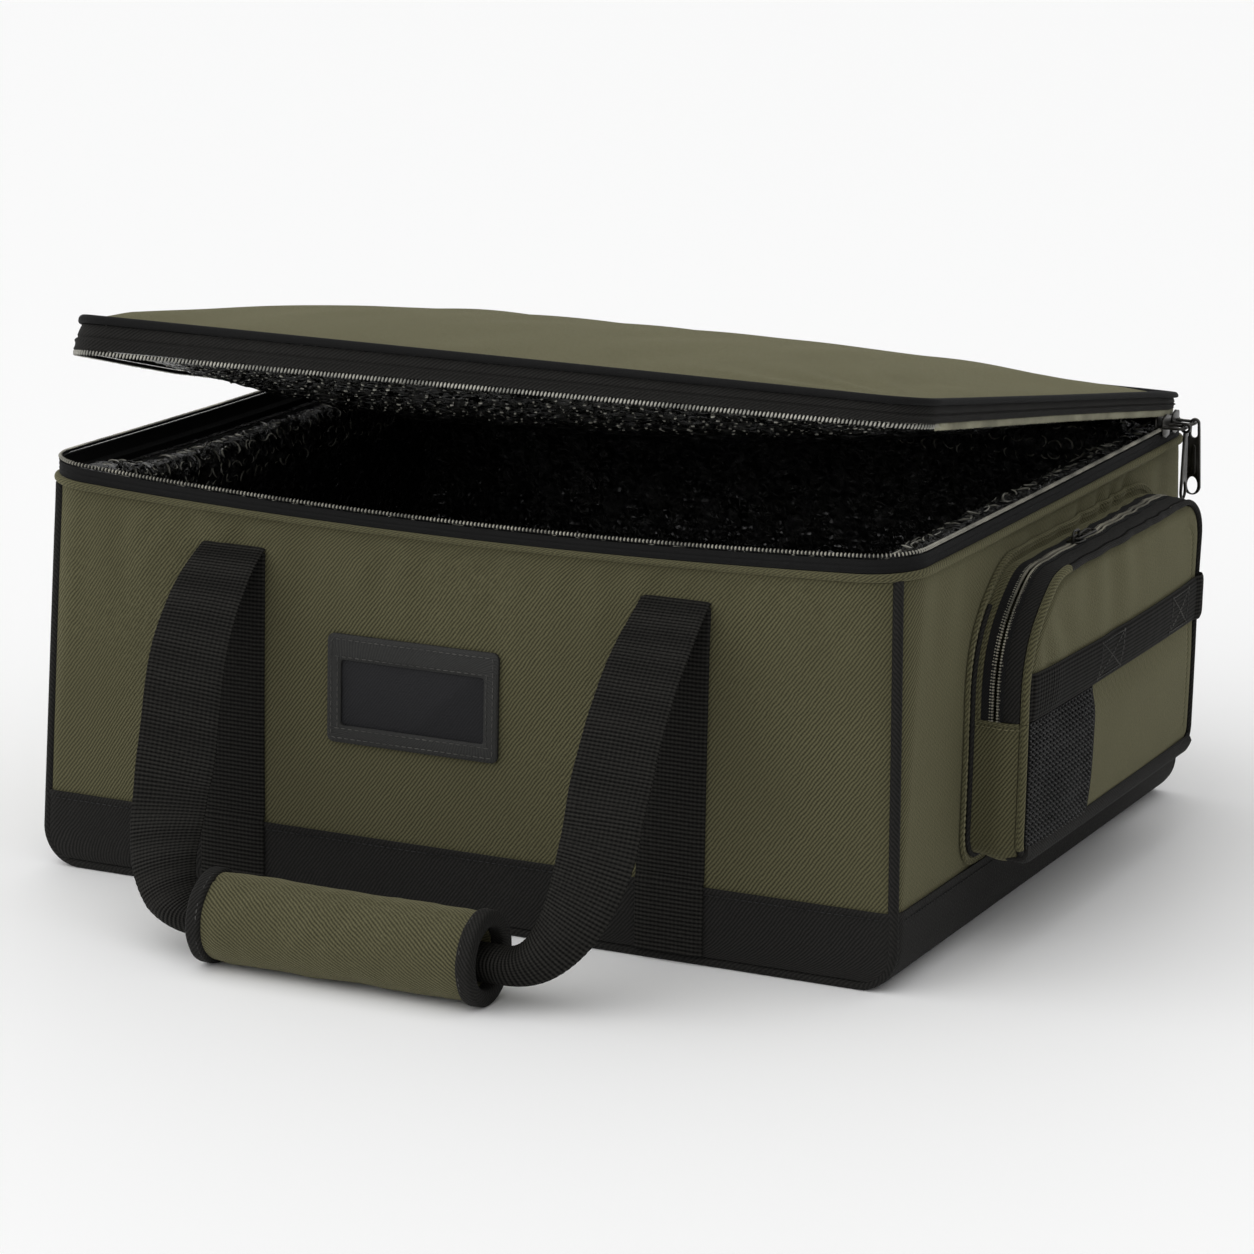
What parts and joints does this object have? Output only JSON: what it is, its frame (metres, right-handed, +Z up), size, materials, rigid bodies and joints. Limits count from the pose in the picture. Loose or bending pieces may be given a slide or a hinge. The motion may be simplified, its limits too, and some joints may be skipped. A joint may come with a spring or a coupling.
{
  "type": "pizza delivery bag",
  "caption": "Soft insulated delivery bag with a zipped back-hinged lid, webbing loop handles with padded grips, a zipped side pocket and a label window.",
  "frame": {"origin": "on the floor, under the middle of the base", "axes": "+Z up, the front with the label faces -Y, the side pocket is on +X"},
  "size_m": [0.5372, 0.708, 0.3069],
  "materials": {
    "olive_fabric": "woven twill, matt, cut and piped panels of the shell",
    "black_fabric": "plain black woven trim, gusset bands and piping",
    "black_webbing": "ribbed black webbing, 38 mm",
    "black_mesh": "open black mesh over the olive pocket panel",
    "label_vinyl": "black vinyl label holder",
    "grip_padding": "olive twill over thin foam",
    "lining_film": "glossy black crinkled film lining",
    "foam": "closed-cell insulating foam, hidden",
    "base_sheet": "stiff plastic base board, hidden",
    "zip_coil": "black nylon zip coil",
    "zip_metal": "dark gunmetal zip sliders and pulls"
  },
  "bodies": {
    "bag_body": {"front_panel": "olive_fabric", "back_panel": "olive_fabric", "right_side_panel": "olive_fabric", "left_side_panel": "olive_fabric", "front_base_trim": "black_fabric", "back_base_trim": "black_fabric", "base_boot": "black_fabric", "front_piping": "black_fabric", "back_piping": "black_fabric", "rim_bead": "olive_fabric", "rim_band": "black_fabric", "body_zip_coil": "zip_coil", "base_board": "base_sheet", "base_foam": "foam", "front_foam": "foam", "back_foam": "foam", "right_foam": "foam", "left_foam": "foam", "lining": "lining_film", "lid_hinge_strip_lower": "black_fabric", "front_anchor_left": "black_webbing", "front_anchor_right": "black_webbing", "rear_anchor_left": "black_webbing", "rear_anchor_right": "black_webbing", "label_backing": "label_vinyl", "label_frame": "label_vinyl", "pocket_flange": "olive_fabric", "pocket_back_gusset": "olive_fabric", "pocket_lower_gusset": "olive_fabric", "pocket_zip_coil_back": "zip_coil", "pocket_lower_piping": "black_fabric", "pocket_lower_panel": "olive_fabric", "pocket_mesh": "black_mesh"},
    "lid": {"lid_top": "olive_fabric", "lid_foam": "foam", "lid_lining": "lining_film", "lid_bead": "black_fabric", "lid_band": "black_fabric", "lid_zip_coil": "zip_coil", "lid_hinge_strip_upper": "black_fabric"},
    "front_handle": {"front_handle_strap": "black_webbing", "front_grip": "grip_padding", "front_grip_binding_left": "black_fabric", "front_grip_binding_right": "black_fabric"},
    "rear_handle": {"rear_handle_strap": "black_webbing", "rear_grip": "grip_padding", "rear_grip_binding_left": "black_fabric", "rear_grip_binding_right": "black_fabric"},
    "front_slider": {"front_slider": "zip_metal"},
    "front_pull": {"front_slider_pull": "zip_metal"},
    "rear_slider": {"rear_slider": "zip_metal"},
    "rear_pull": {"rear_slider_pull": "zip_metal"},
    "pocket_flap": {"pocket_flap": "olive_fabric", "pocket_front_gusset": "black_fabric", "pocket_zip_coil_front": "zip_coil", "pocket_flap_piping": "olive_fabric", "pocket_webbing": "black_webbing"},
    "pocket_slider": {"pocket_slider": "zip_metal"},
    "pocket_pull": {"pocket_slider_pull": "zip_metal"}
  },
  "joints": [
    {"name": "lid_hinge", "type": "hinge", "parent": "bag_body", "child": "lid", "pos_m": [0, 0.2213, 0.2252], "axis": [-1, 0, 0], "range_deg": [-8, 110]},
    {"name": "front_handle_swing", "type": "hinge", "parent": "bag_body", "child": "front_handle", "pos_m": [0, -0.223, 0.1885], "axis": [-1, 0, 0], "range_deg": [0, 130]},
    {"name": "rear_handle_swing", "type": "hinge", "parent": "bag_body", "child": "rear_handle", "pos_m": [0, 0.223, 0.1885], "axis": [1, 0, 0], "range_deg": [0, 95]},
    {"name": "front_slider_travel", "type": "slide", "parent": "bag_body", "child": "front_slider", "axis": [0, -1, 0], "range_m": [0, 0.02]},
    {"name": "front_pull_swing", "type": "hinge", "parent": "front_slider", "child": "front_pull", "pos_m": [0.26315, 0.17, 0.2252], "axis": [0, -1, 0], "range_deg": [-5, 120]},
    {"name": "rear_slider_travel", "type": "slide", "parent": "bag_body", "child": "rear_slider", "axis": [0, -1, 0], "range_m": [0, 0.02]},
    {"name": "rear_pull_swing", "type": "hinge", "parent": "rear_slider", "child": "rear_pull", "pos_m": [0.26315, 0.1865, 0.2252], "axis": [0, -1, 0], "range_deg": [-5, 120]},
    {"name": "pocket_flap_hinge", "type": "hinge", "parent": "bag_body", "child": "pocket_flap", "pos_m": [0.2846, 0, 0.1235], "axis": [0, 1, 0], "range_deg": [0, 100]},
    {"name": "pocket_slider_travel", "type": "slide", "parent": "bag_body", "child": "pocket_slider", "axis": [0, 1, 0], "range_m": [-0.048, 0.132]},
    {"name": "pocket_pull_lift", "type": "hinge", "parent": "pocket_slider", "child": "pocket_pull", "pos_m": [0.2648, -0.017, 0.1975], "axis": [1, 0, 0], "range_deg": [0, 170]}
  ],
  "couplings": [
    {"joint": "rear_slider_travel", "follows": "front_slider_travel", "ratio": 1}
  ]
}
